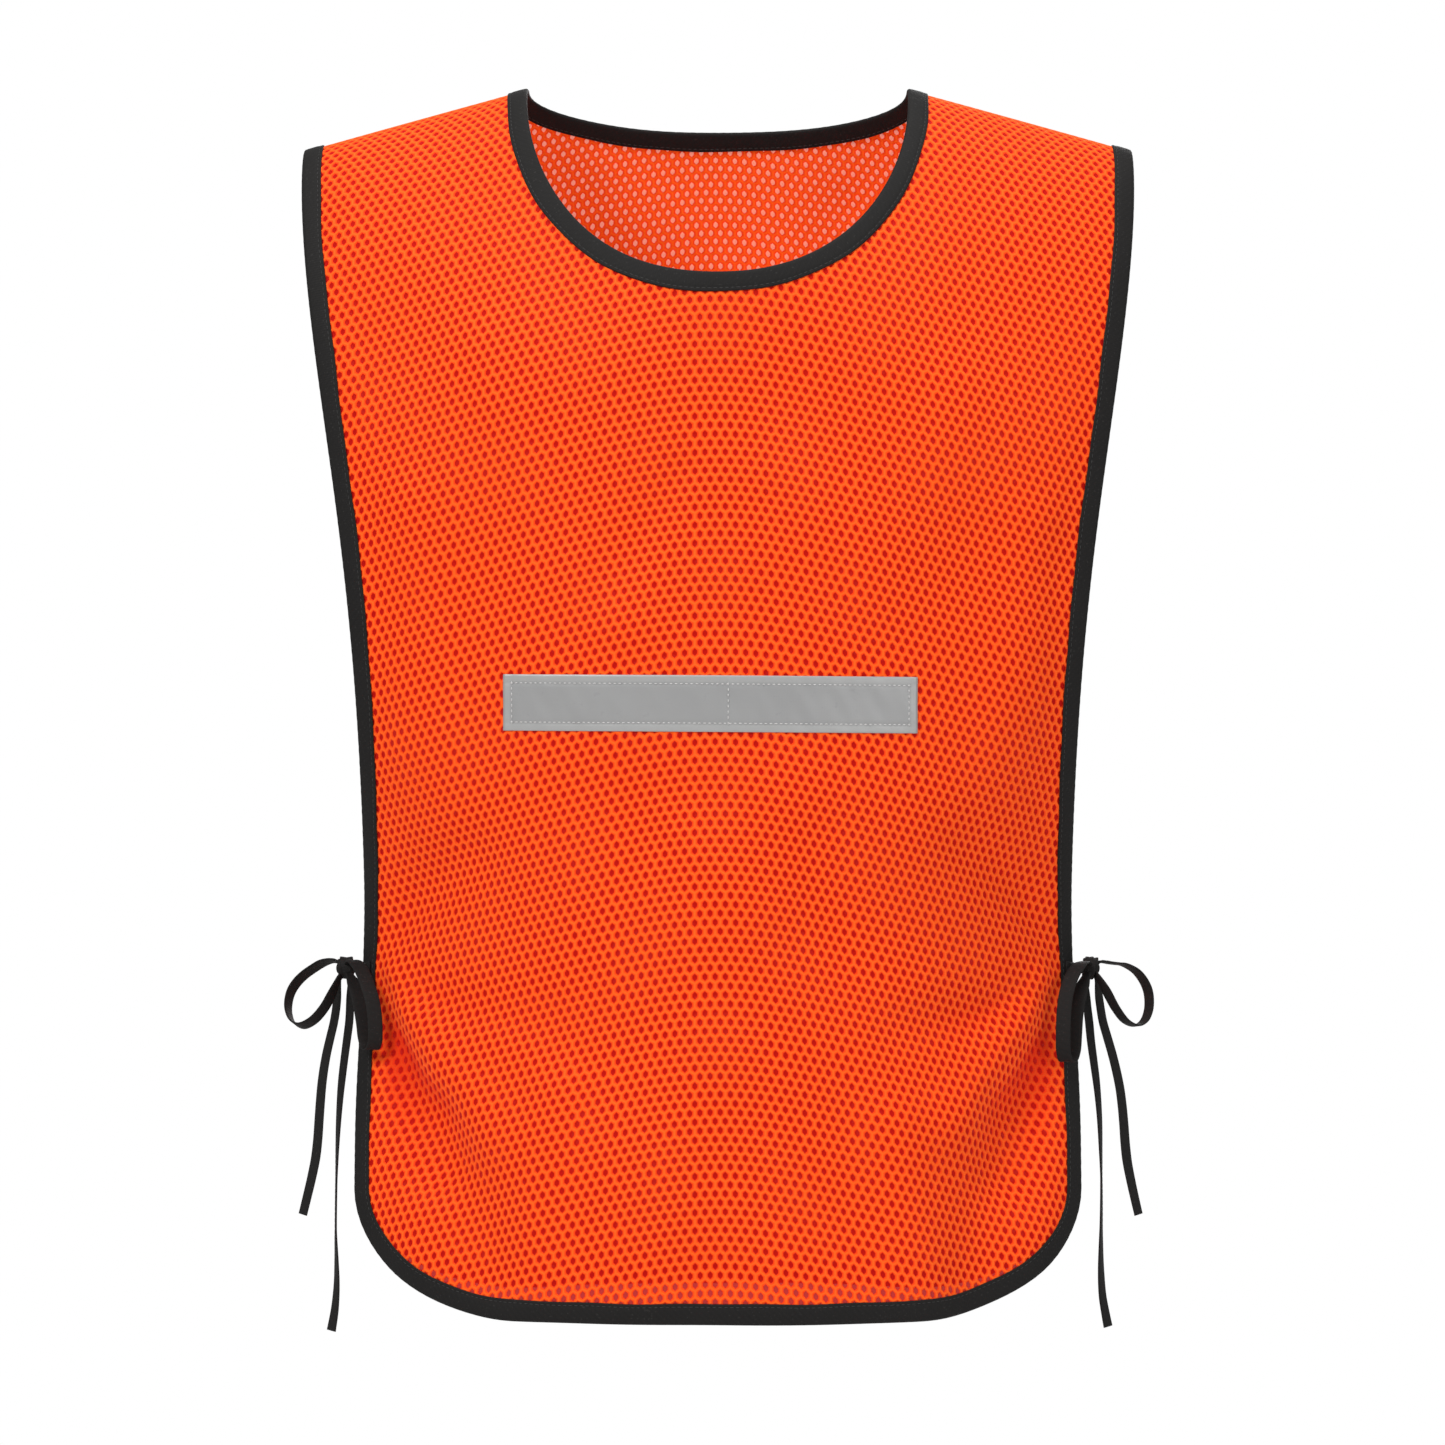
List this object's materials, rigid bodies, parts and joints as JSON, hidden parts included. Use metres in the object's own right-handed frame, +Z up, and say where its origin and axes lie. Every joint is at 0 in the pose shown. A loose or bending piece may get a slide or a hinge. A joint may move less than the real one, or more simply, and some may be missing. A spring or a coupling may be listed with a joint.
{
  "type": "high visibility vest",
  "caption": "Sleeveless mesh safety tabard with bound edges, a reflective strip front and back, and side bows of tape.",
  "frame": {"origin": "midway between the two neck points, on top of the shoulders that carry the garment", "axes": "+Z up along the wearer, +X to the right as seen from the front, and the front faces -Y"},
  "size_m": [0.4793, 0.2268, 0.6833],
  "materials": {
    "net": "fluorescent orange knitted net, matte with a faint sheen",
    "seam": "orange overlocked seam allowance",
    "binding": "near-black folded woven binding, slight sheen",
    "tape": "near-black flat woven tape",
    "reflective": "grey retroreflective tape, satin",
    "strip_thread": "pale grey sewing thread",
    "dark_thread": "near-black sewing thread"
  },
  "bodies": {
    "garment": {"front_panel": "net", "back_panel": "net", "left_shoulder_seam": "seam", "right_shoulder_seam": "seam", "neck_binding": "binding", "edge_binding": "binding", "front_reflective_strip": "reflective", "back_reflective_strip": "reflective", "front_strip_stitching": "strip_thread", "back_strip_stitching": "strip_thread", "left_front_tie_end": "tape", "left_back_tie_end": "tape", "right_front_tie_end": "tape", "right_back_tie_end": "tape", "left_front_bartack": "dark_thread", "left_back_bartack": "dark_thread", "right_front_bartack": "dark_thread", "right_back_bartack": "dark_thread", "left_knot": "tape", "right_knot": "tape"},
    "left_outer_loop": {"left_outer_loop": "tape"},
    "left_inner_loop": {"left_inner_loop": "tape"},
    "left_outer_tail": {"left_outer_tail": "tape"},
    "left_inner_tail": {"left_inner_tail": "tape"},
    "right_outer_loop": {"right_outer_loop": "tape"},
    "right_inner_loop": {"right_inner_loop": "tape"},
    "right_outer_tail": {"right_outer_tail": "tape"},
    "right_inner_tail": {"right_inner_tail": "tape"}
  },
  "joints": [
    {"name": "left_outer_loop_flop", "type": "hinge", "parent": "garment", "child": "left_outer_loop", "pos_m": [-0.2045, 0, -0.482], "axis": [-1, 0, 0], "range_deg": [-5, 60]},
    {"name": "left_inner_loop_lift", "type": "hinge", "parent": "garment", "child": "left_inner_loop", "pos_m": [-0.2045, 0, -0.482], "axis": [-1, 0, 0], "range_deg": [0, 35]},
    {"name": "left_outer_tail_swing", "type": "hinge", "parent": "garment", "child": "left_outer_tail", "pos_m": [-0.2045, 0, -0.482], "axis": [-1, 0, 0], "range_deg": [-70, 8]},
    {"name": "left_inner_tail_swing", "type": "hinge", "parent": "garment", "child": "left_inner_tail", "pos_m": [-0.2045, 0, -0.482], "axis": [-1, 0, 0], "range_deg": [-70, 25]},
    {"name": "right_outer_loop_flop", "type": "hinge", "parent": "garment", "child": "right_outer_loop", "pos_m": [0.2045, 0, -0.482], "axis": [-1, 0, 0], "range_deg": [-5, 60]},
    {"name": "right_inner_loop_lift", "type": "hinge", "parent": "garment", "child": "right_inner_loop", "pos_m": [0.2045, 0, -0.482], "axis": [-1, 0, 0], "range_deg": [0, 35]},
    {"name": "right_outer_tail_swing", "type": "hinge", "parent": "garment", "child": "right_outer_tail", "pos_m": [0.2045, 0, -0.482], "axis": [-1, 0, 0], "range_deg": [-70, 8]},
    {"name": "right_inner_tail_swing", "type": "hinge", "parent": "garment", "child": "right_inner_tail", "pos_m": [0.2045, 0, -0.482], "axis": [-1, 0, 0], "range_deg": [-70, 25]}
  ]
}
